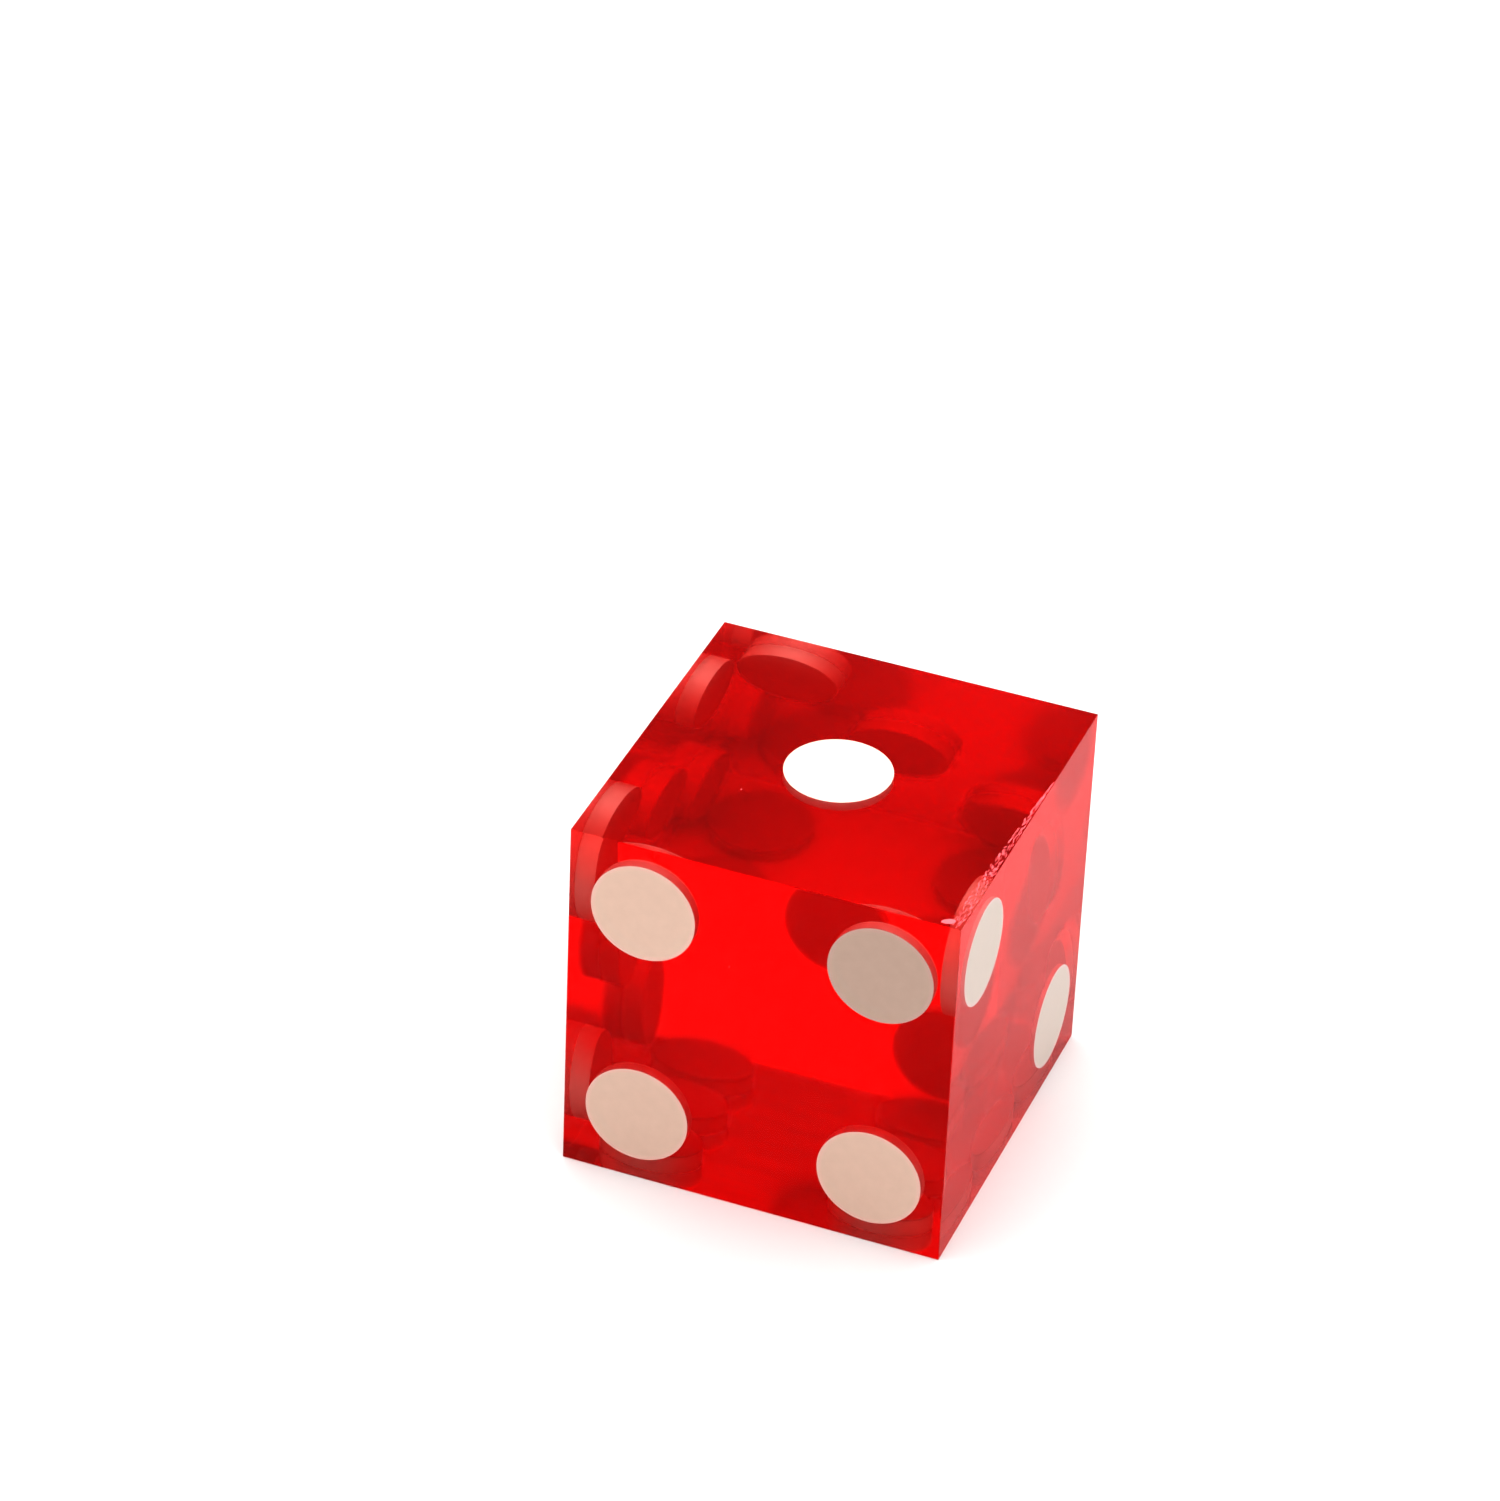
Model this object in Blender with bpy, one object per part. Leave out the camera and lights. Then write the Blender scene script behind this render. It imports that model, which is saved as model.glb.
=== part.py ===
"""Casino die: a clear red cube with 21 white pips set flush in drilled recesses.

Units are metres, +Z is up and the origin is the centre of the bottom face.
The one is on top, the four faces -Y, the two faces +X, and opposite faces add up to seven.
"""

import math

import bmesh
import bpy
from mathutils import Matrix, Vector

# Driving dimensions
INCH = 0.0254
DIE_SIDE = 0.75 * INCH
EDGE_BREAK = 0.00005
PIP_DIAMETER = 0.00516
PIP_SPACING = 0.01168
PIP_THICKNESS = 0.001
PIP_CLEARANCE = 0.00002
PIP_SEGMENTS = 48

# How far a recess cutter stands out of its face
CUTTER_OVERSHOOT = 0.0005

# Colour, roughness and metallic value of the two materials
RED_ACETATE = ((0.82, 0.01, 0.01, 1.0), 0.04, 0.0)
WHITE_FILLER = ((0.90, 0.88, 0.83, 1.0), 0.35, 0.0)

# Pip places on a face, seen from outside: (columns to the right, rows up) from its centre
GRID = {
    "center": (0, 0),
    "top_left": (-1, 1),
    "top_right": (1, 1),
    "middle_left": (-1, 0),
    "middle_right": (1, 0),
    "bottom_left": (-1, -1),
    "bottom_right": (1, -1),
}

CORNERS = ["top_left", "top_right", "bottom_left", "bottom_right"]

# Each face: its value, its outward normal, which way is up on it, and where its pips are
FACES = [
    ("one", (0, 0, 1), (0, 1, 0), ["center"]),
    ("two", (1, 0, 0), (0, 0, 1), ["top_left", "bottom_right"]),
    ("three", (0, 1, 0), (0, 0, 1), ["bottom_left", "center", "top_right"]),
    ("four", (0, -1, 0), (0, 0, 1), CORNERS),
    ("five", (-1, 0, 0), (0, 0, 1), CORNERS + ["center"]),
    ("six", (0, 0, -1), (0, 1, 0), CORNERS + ["middle_left", "middle_right"]),
]


def clear_scene():
    for obj in list(bpy.data.objects):
        bpy.data.objects.remove(obj, do_unlink=True)


def make_material(name, values):
    color, roughness, metallic = values
    material = bpy.data.materials.new(name)
    material.use_nodes = True
    shader = material.node_tree.nodes["Principled BSDF"]
    shader.inputs["Base Color"].default_value = color
    shader.inputs["Roughness"].default_value = roughness
    shader.inputs["Metallic"].default_value = metallic
    return material


def add_object(name, mesh, material=None):
    obj = bpy.data.objects.new(name, mesh)
    bpy.context.scene.collection.objects.link(obj)
    if material is not None:
        mesh.materials.append(material)
    return obj


def add_cylinder(bm, radius, bottom, top, placement):
    """Add a closed cylinder along the placement's Z axis, between two heights on it."""
    middle = Matrix.Translation((0.0, 0.0, (bottom + top) / 2))
    bmesh.ops.create_cone(
        bm,
        cap_ends=True,
        segments=PIP_SEGMENTS,
        radius1=radius,
        radius2=radius,
        depth=top - bottom,
        matrix=placement @ middle,
    )


def pip_placements():
    """Yield each pip's name and the frame on its face whose Z axis points out of the die."""
    die_center = Vector((0.0, 0.0, DIE_SIDE / 2))
    for value, normal, up, places in FACES:
        out = Vector(normal)
        rise = Vector(up)
        right = rise.cross(out)
        turn = Matrix((right, rise, out)).transposed().to_4x4()
        for place in places:
            columns, rows = GRID[place]
            offset = (right * columns + rise * rows) * PIP_SPACING / 2
            spot = die_center + out * DIE_SIDE / 2 + offset
            yield f"{value}_{place}_pip", Matrix.Translation(spot) @ turn


def make_body(placements):
    """The solid cube with broken edges and one blind recess for each pip."""
    bm = bmesh.new()
    bmesh.ops.create_cube(bm, size=DIE_SIDE, matrix=Matrix.Translation((0.0, 0.0, DIE_SIDE / 2)))
    bmesh.ops.bevel(
        bm,
        geom=list(bm.edges),
        offset=EDGE_BREAK,
        segments=1,
        affect="EDGES",
    )
    mesh = bpy.data.meshes.new("body")
    bm.to_mesh(mesh)
    bm.free()
    body = add_object("body", mesh, make_material("red_acetate", RED_ACETATE))

    cut = body.modifiers.new("pip_recesses", "BOOLEAN")
    cut.operation = "DIFFERENCE"
    cut.solver = "EXACT"
    cut.object = make_recess_cutter(placements)


def make_recess_cutter(placements):
    """One guide that holds the 21 drilled shapes, each a little larger than its pip."""
    radius = PIP_DIAMETER / 2 + PIP_CLEARANCE
    depth = PIP_THICKNESS + PIP_CLEARANCE
    bm = bmesh.new()
    for _, placement in placements:
        add_cylinder(bm, radius, -depth, CUTTER_OVERSHOOT, placement)
    mesh = bpy.data.meshes.new("recess_cutter")
    bm.to_mesh(mesh)
    bm.free()
    cutter = add_object("recess_cutter", mesh)
    cutter.hide_render = True
    cutter.display_type = "WIRE"
    return cutter


def make_pips(placements):
    """One disc for each recess, flush with its face, each its own object on a shared mesh."""
    bm = bmesh.new()
    add_cylinder(bm, PIP_DIAMETER / 2, -PIP_THICKNESS, 0.0, Matrix.Identity(4))
    mesh = bpy.data.meshes.new("pip")
    bm.to_mesh(mesh)
    bm.free()
    mesh.shade_smooth()
    mesh.set_sharp_from_angle(angle=math.radians(30))
    mesh.materials.append(make_material("white_filler", WHITE_FILLER))
    for name, placement in placements:
        pip = add_object(name, mesh)
        pip.matrix_world = placement


def main():
    clear_scene()
    placements = list(pip_placements())
    make_body(placements)
    make_pips(placements)


main()
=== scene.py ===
"""The looks of the casino die: clear red acetate with 21 white pips, on a plain pale floor.

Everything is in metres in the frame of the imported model. Sizes and places are read from that model.
"""

import math
import random

import bmesh
import bpy
from mathutils import Matrix, Vector


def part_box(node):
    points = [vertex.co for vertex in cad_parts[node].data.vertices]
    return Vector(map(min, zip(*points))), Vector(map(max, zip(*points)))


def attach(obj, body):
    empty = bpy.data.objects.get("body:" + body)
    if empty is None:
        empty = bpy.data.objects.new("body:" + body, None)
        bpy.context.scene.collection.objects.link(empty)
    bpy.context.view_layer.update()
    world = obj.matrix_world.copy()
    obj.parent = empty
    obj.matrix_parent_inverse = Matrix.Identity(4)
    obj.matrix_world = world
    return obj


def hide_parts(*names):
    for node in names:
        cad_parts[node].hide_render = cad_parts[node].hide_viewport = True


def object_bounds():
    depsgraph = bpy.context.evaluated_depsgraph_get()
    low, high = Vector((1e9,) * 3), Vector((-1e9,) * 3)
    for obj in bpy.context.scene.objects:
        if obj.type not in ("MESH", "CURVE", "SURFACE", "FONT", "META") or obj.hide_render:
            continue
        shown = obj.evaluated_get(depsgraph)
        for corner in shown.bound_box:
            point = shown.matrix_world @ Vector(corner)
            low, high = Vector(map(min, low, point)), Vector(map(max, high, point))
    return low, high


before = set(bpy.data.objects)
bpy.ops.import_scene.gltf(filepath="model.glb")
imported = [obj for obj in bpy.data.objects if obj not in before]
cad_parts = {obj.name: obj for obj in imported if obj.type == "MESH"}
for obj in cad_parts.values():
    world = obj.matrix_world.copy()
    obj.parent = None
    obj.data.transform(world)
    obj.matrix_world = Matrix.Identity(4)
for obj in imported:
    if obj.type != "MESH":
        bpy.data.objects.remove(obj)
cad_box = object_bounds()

# Shape of the body, and how far a recess cutter stands out of its face
EDGE_RADIUS = 0.000025
EDGE_STEPS = 2
CUTTER_OVERSHOOT = 0.0002

# Shape of a pip, measured inwards from its rim and down from its face
CONTACT = 0.000005
RIM_RISE = 0.000002
DISH = 0.000006
FLOOR_CORNER = 0.000015
ROUND_STEPS = 128
SMOOTH_ANGLE = math.radians(25)

# The clear body: how it bends and absorbs light, how it is tinted at a glancing angle, and its polish
ACETATE_IOR = 1.49
ACETATE_COLOR = (0.999, 0.1, 0.05, 1.0)
ACETATE_DENSITY = 560.0
ACETATE_ROUGHNESS = (0.11, 0.15)
MIRROR_TINT = (1.0, 0.0, 0.0, 1.0)
SKIN_TINT = (1.0, 0.84, 0.84, 1.0)
SKIN_ROUGHNESS = 0.05
SCRATCH_SCALE = 300.0
SCRATCH_STRETCH = (1, 9, 1)
SCRATCH_TURN = (0.3, 0.2, 0.6)

# Colours of the filler: its open face, the rim of that face, and its wall and floor, which are bonded to
# the body. The warm peach of the open face is partly painted light: painted warm light and a painted red
# glow from the body. The walls on the four's face are painted a deeper red, as painted red shade.
# Painted light: the warm peach of these face colours is partly painted warm light and red glow from the
# body
FILLER_DARK = (0.53, 0.36, 0.278, 1.0)
FILLER_LIGHT = (0.61, 0.417, 0.326, 1.0)
# The rim colour is a painted glow of the body's red light through the thin edge of the filler
FILLER_RIM_GLOW = (0.74, 0.395, 0.35, 1.0)
FILLER_BONDED = (0.66, 0.62, 0.56, 1.0)
FILLER_WALL_RED_SHADE = (0.60, 0.25, 0.23, 1.0)
RED_SHADED_FACES = {"four"}
RIM_GLOW_WIDTH = 0.00025
RIM_GLOW_STRENGTH = 0.6
BOND_DEPTH = 0.00004

# Surface of the filler
FILLER_GRAIN = 1500.0
FILLER_ROUGHNESS = (0.4, 0.46)
FILLER_GLOSS = 0.6

# Painted shade at the bonded inner end of the pips: how light that end is, by the value of their face,
# where it isn't 1, and the depths between which the wall turns into that end, as parts of the thickness.
# The six's inner ends are darkened as painted shade.
INNER_SHADE_TONES = {"six": 0.6}
INNER_END = (0.9, 0.99)

# How light the filler of a pip is. The pips that aren't listed differ slightly at random. The one's pip on
# top is set lighter as painted light from overhead.
TONE_RANGE = (0.9, 1.0)
PIP_TONES = {
    "one_center_pip": 1.35,
    "two_top_left_pip": 1.0,
    "two_bottom_right_pip": 1.02,
    "four_top_left_pip": 1.0,
    "four_top_right_pip": 0.66,
    "four_bottom_left_pip": 0.96,
    "four_bottom_right_pip": 0.96,
}

# Painted light: the tint of the filler on a face, where it differs from the others. The two's pips are
# tinted whiter and cooler, for the whiter light on that side.
FACE_LIGHT_TINTS = {"two": (0.90, 1.10, 1.22)}
NO_TINT = (1.0, 1.0, 1.0)

# Marks of use, each (normal of its face, place on that face, length, width, turn in degrees), with places
# measured from the middle of the face along the two other axes
MARKS = [
    ((0, 0, 1), (0.00880, -0.00906), 0.00084, 0.00046, 25),
    ((0, 0, 1), (0.00918, -0.00535), 0.00024, 0.00007, 70),
    ((0, 0, 1), (0.00925, -0.00310), 0.00030, 0.00006, 75),
    ((0, 0, 1), (-0.00357, -0.00330), 0.00009, 0.00007, 0),
    ((0, -1, 0), (-0.00150, 0.00412), 0.00008, 0.00006, 30),
]
MARK_SIDES = 9
MARK_REACH = (0.7, 1.0)
MARK_RISE = 0.000002
MARK_RISE_SPREAD = (0.5, 1.5)
MARK_SINK = 0.000004
MARK_DARK = (0.80, 0.08, 0.10, 1.0)
MARK_LIGHT = (0.90, 0.12, 0.14, 1.0)
MARK_ROUGHNESS = (0.5, 0.7)
MARK_GRAIN = 9000.0

# Scuffs along the edge between the one and the two, in a band that narrows away from the four
SCUFF_SEED = 4
SCUFF_COUNT = 420
SCUFF_RUN = 0.0125
SCUFF_BAND = 0.00052
SCUFF_LENGTH = 0.00042
SCUFF_LENGTH_SPREAD = (0.3, 1.0)
SCUFF_WIDTH = 0.000028
SCUFF_WIDTH_SPREAD = (0.6, 1.3)
SCUFF_TURN = 90
SCUFF_TURN_SPREAD = 6

# Floor
FLOOR_SIZE = 6.0
FLOOR_DROP = 0.00003
FLOOR_COLOR = (0.55, 0.55, 0.55, 1.0)
FLOOR_ROUGHNESS = 0.7
FLOOR_GLOSS = 0.2

# Studio light: its strength at the horizon, on the walls and overhead, and where each band starts or ends,
# given as the height of the direction to it on a sphere of radius 1
LIGHT_COLOR = (1.0, 0.985, 0.975, 1.0)
HORIZON_LIGHT = 1.0
WALL_LIGHT = 0.23
OVERHEAD_LIGHT = 4.3
HORIZON_TOP = 0.14
WALL_BOTTOM = 0.32
WALL_TOP = 0.62
OVERHEAD_BOTTOM = 0.85

# Camera
CAMERA_AZIMUTH = math.radians(20.15)
CAMERA_ELEVATION = math.radians(34.45)
CAMERA_ROLL = math.radians(2.5)
CAMERA_DISTANCE = 0.28954
CAMERA_TARGET = Vector((-0.004436, 0.0, 0.018924))
CAMERA_LENS = 148.4
CAMERA_SENSOR = 36.0
CAMERA_NEAR = 0.01
CAMERA_FAR = 20.0


def new_material(name):
    """A new material, with its node tree and its Principled shader."""
    material = bpy.data.materials.new(name)
    material.use_nodes = True
    tree = material.node_tree
    return material, tree, tree.nodes["Principled BSDF"]


def add_node(tree, kind, **settings):
    node = tree.nodes.new(kind)
    for key, value in settings.items():
        setattr(node, key, value)
    return node


def link(tree, source, target):
    tree.links.new(source, target)


def map_range(tree, value, low, high, to_low, to_high):
    node = add_node(tree, "ShaderNodeMapRange")
    node.inputs["From Min"].default_value = low
    node.inputs["From Max"].default_value = high
    node.inputs["To Min"].default_value = to_low
    node.inputs["To Max"].default_value = to_high
    link(tree, value, node.inputs["Value"])
    return node.outputs["Result"]


def noise(tree, scale, detail, stretch=(1, 1, 1), turn=(0, 0, 0)):
    """Object-space noise, with the scale in repeats per metre."""
    coords = add_node(tree, "ShaderNodeTexCoord")
    mapping = add_node(tree, "ShaderNodeMapping")
    mapping.inputs["Scale"].default_value = stretch
    mapping.inputs["Rotation"].default_value = turn
    link(tree, coords.outputs["Object"], mapping.inputs["Vector"])
    node = add_node(tree, "ShaderNodeTexNoise")
    node.inputs["Scale"].default_value = scale
    node.inputs["Detail"].default_value = detail
    link(tree, mapping.outputs["Vector"], node.inputs["Vector"])
    return node.outputs["Fac"]


def uneven_roughness(tree, shader, grain, low, high, roughness):
    """Spread a roughness range over the noise values from low to high."""
    link(tree, map_range(tree, grain, low, high, *roughness), shader.inputs["Roughness"])


def scaled(color, tone, tint=NO_TINT):
    return tuple(tone * part * channel for part, channel in zip(tint, color)) + (1.0,)


def mix_colors(tree, factor, first, second):
    """A blend of two colours, each of them either a value or another node's output."""
    node = add_node(tree, "ShaderNodeMix", data_type="RGBA")
    link(tree, factor, node.inputs["Factor"])
    for socket, color in (("A", first), ("B", second)):
        target = next(i for i in node.inputs if i.name == socket and i.type == "RGBA")
        if isinstance(color, tuple):
            target.default_value = color
        else:
            link(tree, color, target)
    return next(o for o in node.outputs if o.type == "RGBA")


def make_acetate():
    """Clear red body: colourless at its surface, with red absorption and a fine uneven polish."""
    material, tree, shader = new_material("red_acetate")
    shader.inputs["Base Color"].default_value = (1.0, 1.0, 1.0, 1.0)
    shader.inputs["IOR"].default_value = ACETATE_IOR
    shader.inputs["Transmission Weight"].default_value = 1.0
    shader.inputs["Specular Tint"].default_value = MIRROR_TINT
    shader.inputs["Coat Weight"].default_value = 1.0
    shader.inputs["Coat IOR"].default_value = 1.0
    shader.inputs["Coat Roughness"].default_value = SKIN_ROUGHNESS
    shader.inputs["Coat Tint"].default_value = SKIN_TINT

    scratches = noise(tree, SCRATCH_SCALE, 3.0, SCRATCH_STRETCH, SCRATCH_TURN)
    uneven_roughness(tree, shader, scratches, 0.4, 0.75, ACETATE_ROUGHNESS)

    volume = add_node(tree, "ShaderNodeVolumeAbsorption")
    volume.inputs["Color"].default_value = ACETATE_COLOR
    volume.inputs["Density"].default_value = ACETATE_DENSITY
    link(tree, volume.outputs["Volume"], tree.nodes["Material Output"].inputs["Volume"])
    return material


def axis_distance_and_depth(tree):
    """A pip's own coordinates: how far a point is from its axis, and its height over its face."""
    coords = add_node(tree, "ShaderNodeTexCoord")
    split = add_node(tree, "ShaderNodeSeparateXYZ")
    link(tree, coords.outputs["Object"], split.inputs["Vector"])
    flat = add_node(tree, "ShaderNodeCombineXYZ")
    link(tree, split.outputs["X"], flat.inputs["X"])
    link(tree, split.outputs["Y"], flat.inputs["Y"])
    across = add_node(tree, "ShaderNodeVectorMath", operation="LENGTH")
    link(tree, flat.outputs["Vector"], across.inputs[0])
    return across.outputs["Value"], split.outputs["Z"]


def make_filler(node, radius, thickness):
    """Pale hard filler, with painted light in its colour: a painted pink glow at the rim, where the body's
    red light shows through the thinning edge, the one's pip lifted and the two's pips tinted as painted
    light, and another colour where it is bonded, with painted red shade on the four's walls and painted
    shade on the six's inner ends.
    """
    material, tree, shader = new_material(node.replace("_pip", "_paint"))
    shader.inputs["Specular IOR Level"].default_value = FILLER_GLOSS
    value = node.split("_")[0]
    # The tone of the one's pip is painted light from overhead
    tone = PIP_TONES.get(node, random.Random(node).uniform(*TONE_RANGE))
    # The tint of the two's pips is painted light, for the whiter light on that side
    tint = FACE_LIGHT_TINTS.get(value, NO_TINT)
    distance, height = axis_distance_and_depth(tree)

    grain = noise(tree, FILLER_GRAIN, 4.0)
    # The warm peach of the open face is partly painted warm light and red glow from the body
    face = mix_colors(tree, grain, scaled(FILLER_DARK, tone, tint), scaled(FILLER_LIGHT, tone, tint))
    # Painted glow: the body's red light showing pink through the filler's thin rim
    rim_glow_mask = map_range(tree, distance, radius - RIM_GLOW_WIDTH, radius, 0.0, RIM_GLOW_STRENGTH)
    shown = mix_colors(tree, rim_glow_mask, face, scaled(FILLER_RIM_GLOW, tone, tint))

    # Painted red shade on the walls of the four's pips
    wall = FILLER_WALL_RED_SHADE if value in RED_SHADED_FACES else FILLER_BONDED
    # Painted shade: the inner ends of the six's pips are darker
    inner = scaled(FILLER_BONDED, INNER_SHADE_TONES.get(value, 1.0))
    start, end = INNER_END
    inner_end_shade_mask = map_range(tree, height, -end * thickness, -start * thickness, 1.0, 0.0)
    bonded = mix_colors(tree, inner_end_shade_mask, wall, inner)

    under_face = map_range(tree, height, -BOND_DEPTH, -BOND_DEPTH / 2, 1.0, 0.0)
    color = mix_colors(tree, under_face, shown, bonded)
    link(tree, color, shader.inputs["Base Color"])
    uneven_roughness(tree, shader, grain, 0.3, 0.7, FILLER_ROUGHNESS)
    return material


def make_dulled_acetate():
    """Body material where it has been broken or scuffed: it scatters light, so it looks pink."""
    material, tree, shader = new_material("dulled_acetate")
    grain = noise(tree, MARK_GRAIN, 2.0)
    link(tree, mix_colors(tree, grain, MARK_DARK, MARK_LIGHT), shader.inputs["Base Color"])
    uneven_roughness(tree, shader, grain, 0.3, 0.7, MARK_ROUGHNESS)
    return material


def pip_place(node):
    """Where a CAD pip sits: a frame whose Z points out of the die, its radius and its thickness."""
    low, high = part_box(node)
    extent = high - low
    axis = min(range(3), key=lambda i: extent[i])
    center = (low + high) / 2
    die_center = (cad_box[0] + cad_box[1]) / 2
    out = Vector((0.0, 0.0, 0.0))
    out[axis] = math.copysign(1.0, (center - die_center)[axis])
    thickness = extent[axis]
    radius = max(extent) / 2
    turn = out.to_track_quat("Z", "Y").to_matrix().to_4x4()
    return Matrix.Translation(center + out * thickness / 2) @ turn, radius, thickness


def revolve(bm, profile, placement):
    """Turn a profile of (radius, height) points, listed from the top's middle to the bottom's middle."""
    rings = []
    for radius, height in profile:
        if radius == 0:
            rings.append([bm.verts.new(placement @ Vector((0, 0, height)))])
            continue
        ring = []
        for step in range(ROUND_STEPS):
            angle = 2 * math.pi * step / ROUND_STEPS
            spot = Vector((radius * math.cos(angle), radius * math.sin(angle), height))
            ring.append(bm.verts.new(placement @ spot))
        rings.append(ring)
    for upper, lower in zip(rings, rings[1:]):
        for step in range(ROUND_STEPS):
            following = (step + 1) % ROUND_STEPS
            if len(upper) == 1:
                corners = (upper[0], lower[step], lower[following])
            elif len(lower) == 1:
                corners = (upper[step], lower[0], upper[following])
            else:
                corners = (upper[step], lower[step], lower[following], upper[following])
            bm.faces.new(corners)


def recess_profile(radius, thickness):
    return [
        (0, CUTTER_OVERSHOOT),
        (radius, CUTTER_OVERSHOOT),
        (radius, -thickness + FLOOR_CORNER),
        (radius - FLOOR_CORNER, -thickness),
        (0, -thickness),
    ]


def pip_profile(radius, thickness):
    """A slightly hollow disc that reaches just into the body all round."""
    r = radius + CONTACT
    t = thickness + CONTACT
    return [
        (0, -DISH),
        (radius * 0.5, -DISH * 0.75),
        (r, RIM_RISE),
        (r, -t + FLOOR_CORNER),
        (r - FLOOR_CORNER, -t),
        (0, -t),
    ]


def mesh_object(name, bm):
    mesh = bpy.data.meshes.new(name)
    bm.normal_update()
    bm.to_mesh(mesh)
    bm.free()
    obj = bpy.data.objects.new(name, mesh)
    bpy.context.scene.collection.objects.link(obj)
    return obj


def make_pip(node):
    placement, radius, thickness = pip_place(node)
    bm = bmesh.new()
    revolve(bm, pip_profile(radius, thickness), Matrix.Identity(4))
    bmesh.ops.recalc_face_normals(bm, faces=bm.faces)
    pip = mesh_object(node.replace("_pip", "_filler"), bm)
    pip.data.shade_smooth()
    pip.data.set_sharp_from_angle(angle=SMOOTH_ANGLE)
    pip.data.materials.append(make_filler(node, radius, thickness))
    pip.matrix_world = placement
    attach(pip, "root")
    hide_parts(node)


def make_recess_cutter(pip_nodes):
    bm = bmesh.new()
    for node in pip_nodes:
        placement, radius, thickness = pip_place(node)
        revolve(bm, recess_profile(radius, thickness), placement)
    bmesh.ops.recalc_face_normals(bm, faces=bm.faces)
    return mesh_object("recess_cutter", bm)


def make_body(pip_nodes):
    """The clear cube with its edges just broken and a recess for each pip."""
    low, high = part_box("body")
    bm = bmesh.new()
    size = high.x - low.x
    bmesh.ops.create_cube(bm, size=size, matrix=Matrix.Translation((low + high) / 2))
    bmesh.ops.bevel(
        bm,
        geom=list(bm.edges),
        offset=EDGE_RADIUS,
        segments=EDGE_STEPS,
        profile=0.5,
        affect="EDGES",
    )
    body = mesh_object("clear_body", bm)

    cutter = make_recess_cutter(pip_nodes)
    cut = body.modifiers.new("recesses", "BOOLEAN")
    cut.operation = "DIFFERENCE"
    cut.solver = "EXACT"
    cut.object = cutter
    depsgraph = bpy.context.evaluated_depsgraph_get()
    carved = bpy.data.meshes.new_from_object(body.evaluated_get(depsgraph))
    body.modifiers.clear()
    body.data = carved
    bpy.data.objects.remove(cutter)

    body.data.materials.clear()
    body.data.materials.append(make_acetate())
    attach(body, "root")
    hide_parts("body")


def face_frame(normal):
    """A frame in the middle of the body's face with that normal, whose X and Y are the other two axes."""
    low, high = cad_box
    out = Vector(normal)
    axis = max(range(3), key=lambda i: abs(out[i]))
    first, second = [Vector([float(i == k) for i in range(3)]) for k in range(3) if k != axis]
    center = (low + high) / 2
    spot = center + out * (high - low)[axis] / 2
    columns = Matrix((first, second, out)).transposed().to_4x4()
    return Matrix.Translation(spot) @ columns


def add_mark(bm, rng, placement, place, length, width, turn):
    """One shallow flake: a many-sided lump that stands just proud of the face it is on."""
    rise = Vector((0, 0, MARK_RISE * rng.uniform(*MARK_RISE_SPREAD)))
    sink = Vector((0, 0, MARK_SINK))
    middle = Vector((place[0], place[1], 0))
    rim = []
    for step in range(MARK_SIDES):
        angle = 2 * math.pi * step / MARK_SIDES
        reach = rng.uniform(*MARK_REACH)
        spot = Vector((length / 2 * math.cos(angle) * reach, width / 2 * math.sin(angle) * reach, 0))
        rim.append(Matrix.Rotation(turn, 3, "Z") @ spot + middle)
    top = [bm.verts.new(placement @ (spot + rise)) for spot in rim]
    base = [bm.verts.new(placement @ (spot - sink)) for spot in rim]
    bm.faces.new(top)
    bm.faces.new(base[::-1])
    for step in range(MARK_SIDES):
        following = (step + 1) % MARK_SIDES
        bm.faces.new((top[step], base[step], base[following], top[following]))


def add_scuff(bm, rng):
    """One short scuff on the face of the one, close to its edge with the two."""
    half = (cad_box[1].x - cad_box[0].x) / 2
    along = SCUFF_RUN * rng.random()
    band = SCUFF_BAND * (1 - (along / SCUFF_RUN) ** 2)
    length = SCUFF_LENGTH * rng.uniform(*SCUFF_LENGTH_SPREAD)
    width = SCUFF_WIDTH * rng.uniform(*SCUFF_WIDTH_SPREAD)
    turn = math.radians(SCUFF_TURN + rng.gauss(0, SCUFF_TURN_SPREAD))
    inset = EDGE_RADIUS + width + band * rng.random()
    place = (half - inset, -half + EDGE_RADIUS + length / 2 + along)
    add_mark(bm, rng, face_frame((0, 0, 1)), place, length, width, turn)


def make_marks():
    """Nicks, dust and fine scuffs where handling has dulled the edge between the one and the two."""
    rng = random.Random(SCUFF_SEED)
    bm = bmesh.new()
    for normal, place, length, width, turn in MARKS:
        add_mark(bm, rng, face_frame(normal), place, length, width, math.radians(turn))
    for _ in range(SCUFF_COUNT):
        add_scuff(bm, rng)
    bmesh.ops.recalc_face_normals(bm, faces=bm.faces)
    marks = mesh_object("handling_marks", bm)
    marks.data.materials.append(make_dulled_acetate())
    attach(marks, "root")


def make_floor():
    material, _, shader = new_material("pale_floor")
    shader.inputs["Base Color"].default_value = FLOOR_COLOR
    shader.inputs["Roughness"].default_value = FLOOR_ROUGHNESS
    shader.inputs["Specular IOR Level"].default_value = FLOOR_GLOSS
    bm = bmesh.new()
    bmesh.ops.create_grid(bm, x_segments=1, y_segments=1, size=FLOOR_SIZE / 2)
    floor = mesh_object("floor", bm)
    floor.location.z = cad_box[0].z - FLOOR_DROP
    floor.data.materials.append(material)


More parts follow.
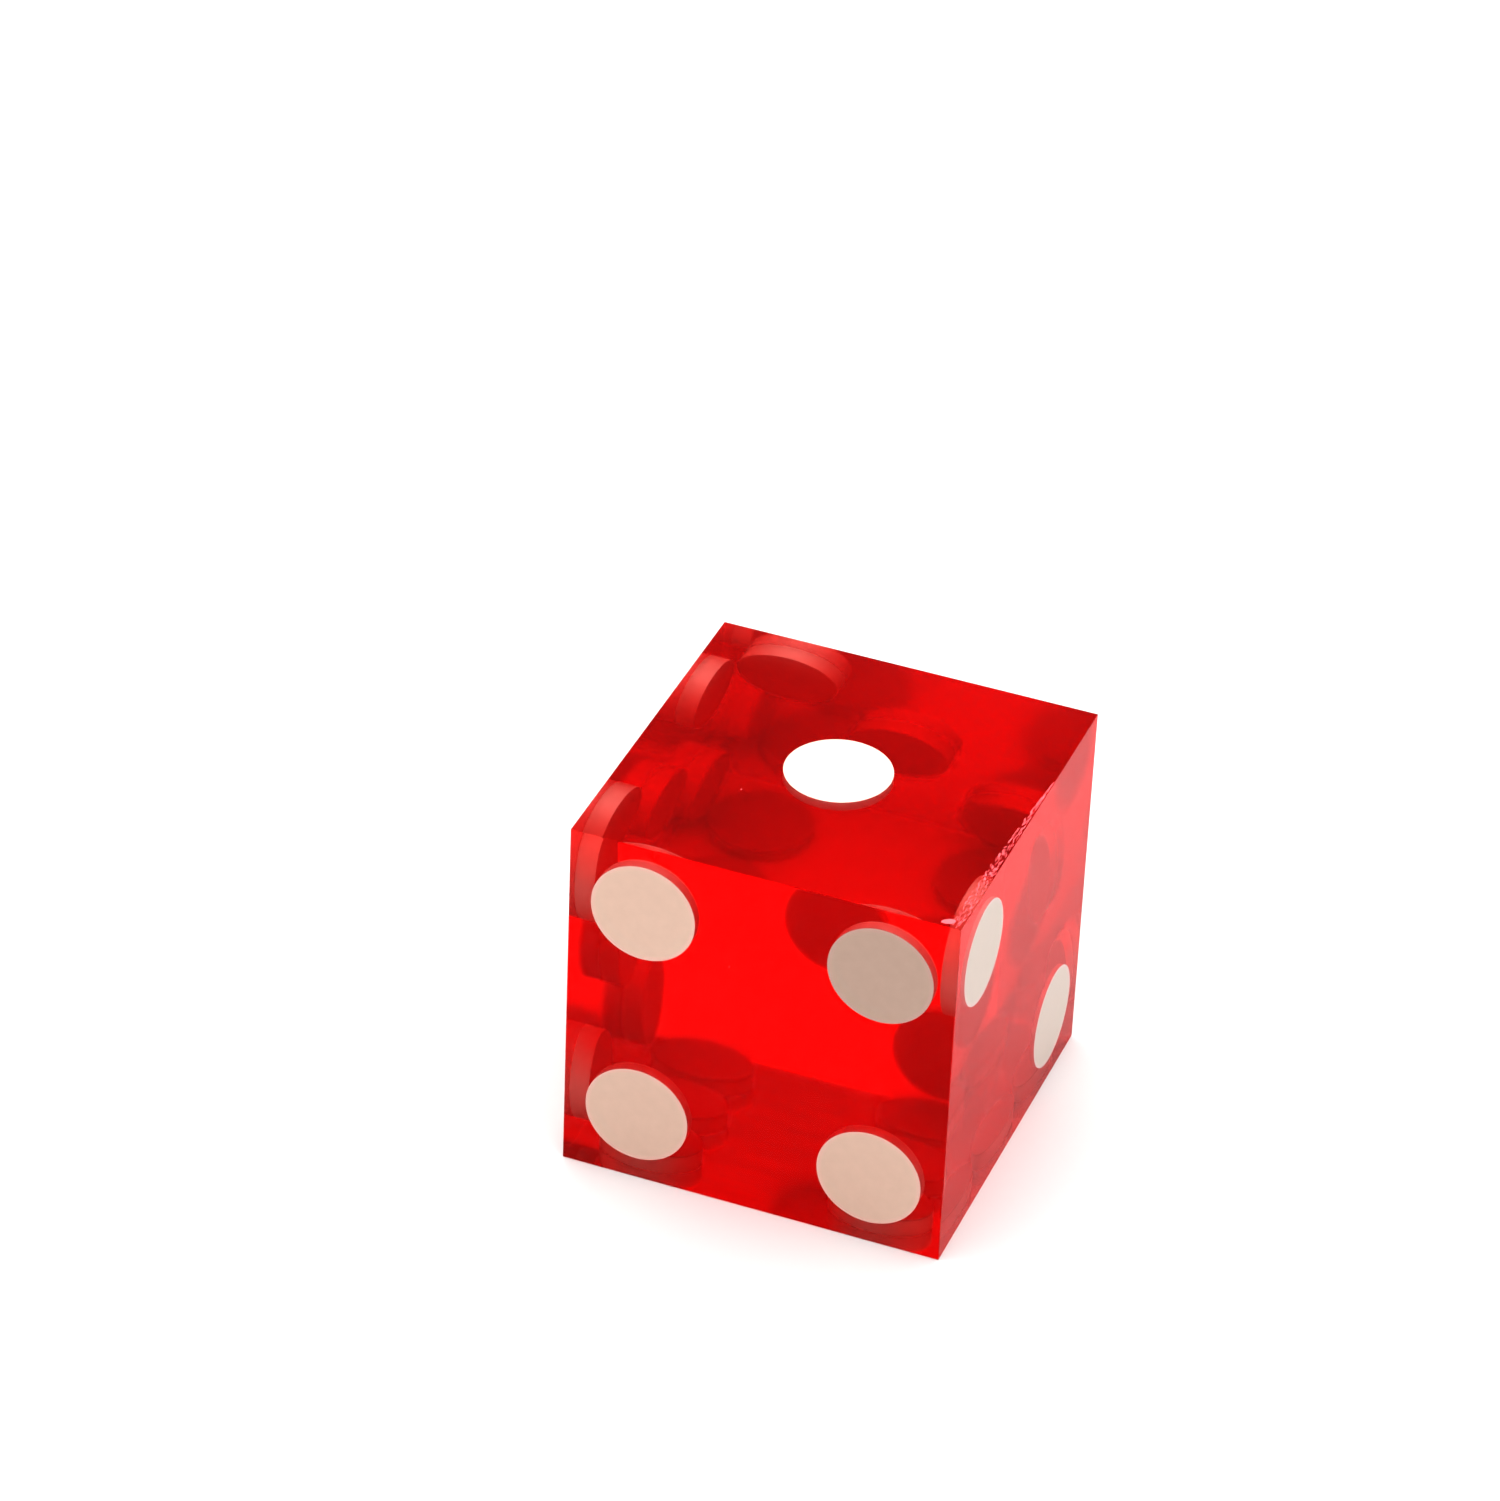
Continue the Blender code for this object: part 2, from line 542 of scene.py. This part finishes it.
def make_world():
    """Soft studio light: bright at the horizon, dim on the walls and strongest overhead."""
    world = bpy.data.worlds.new("studio")
    bpy.context.scene.world = world
    world.use_nodes = True
    tree = world.node_tree
    background = tree.nodes["Background"]
    background.inputs["Color"].default_value = LIGHT_COLOR
    coords = add_node(tree, "ShaderNodeTexCoord")
    split = add_node(tree, "ShaderNodeSeparateXYZ")
    link(tree, coords.outputs["Generated"], split.inputs["Vector"])
    height = split.outputs["Z"]
    walls = map_range(tree, height, HORIZON_TOP, WALL_BOTTOM, HORIZON_LIGHT, WALL_LIGHT)
    overhead = map_range(tree, height, WALL_TOP, OVERHEAD_BOTTOM, 0.0, OVERHEAD_LIGHT)
    strength = add_node(tree, "ShaderNodeMath", operation="ADD")
    link(tree, walls, strength.inputs[0])
    link(tree, overhead, strength.inputs[1])
    link(tree, strength.outputs["Value"], background.inputs["Strength"])


def make_camera():
    azimuth, elevation = CAMERA_AZIMUTH, CAMERA_ELEVATION
    back = Vector(
        (
            math.sin(azimuth) * math.cos(elevation),
            -math.cos(azimuth) * math.cos(elevation),
            math.sin(elevation),
        )
    )
    camera = bpy.data.objects.new("camera", bpy.data.cameras.new("camera"))
    bpy.context.scene.collection.objects.link(camera)
    level = back.to_track_quat("Z", "Y").to_matrix().to_4x4()
    place = Matrix.Translation(CAMERA_TARGET + back * CAMERA_DISTANCE)
    camera.matrix_world = place @ level @ Matrix.Rotation(CAMERA_ROLL, 4, "Z")
    camera.data.lens = CAMERA_LENS
    camera.data.sensor_width = CAMERA_SENSOR
    camera.data.clip_start = CAMERA_NEAR
    camera.data.clip_end = CAMERA_FAR
    bpy.context.scene.camera = camera


def set_light_paths():
    """Light inside the block bounces many times before it leaves."""
    cycles = bpy.context.scene.cycles
    cycles.max_bounces = 32
    cycles.glossy_bounces = 24
    cycles.transmission_bounces = 24
    cycles.diffuse_bounces = 6


def set_view():
    view = bpy.context.scene.view_settings
    view.view_transform = "Standard"
    view.look = "Medium High Contrast"


def main():
    pip_nodes = sorted(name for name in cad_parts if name.endswith("_pip"))
    make_body(pip_nodes)
    for node in pip_nodes:
        make_pip(node)
    make_marks()
    make_floor()
    make_world()
    make_camera()
    set_light_paths()
    set_view()


main()
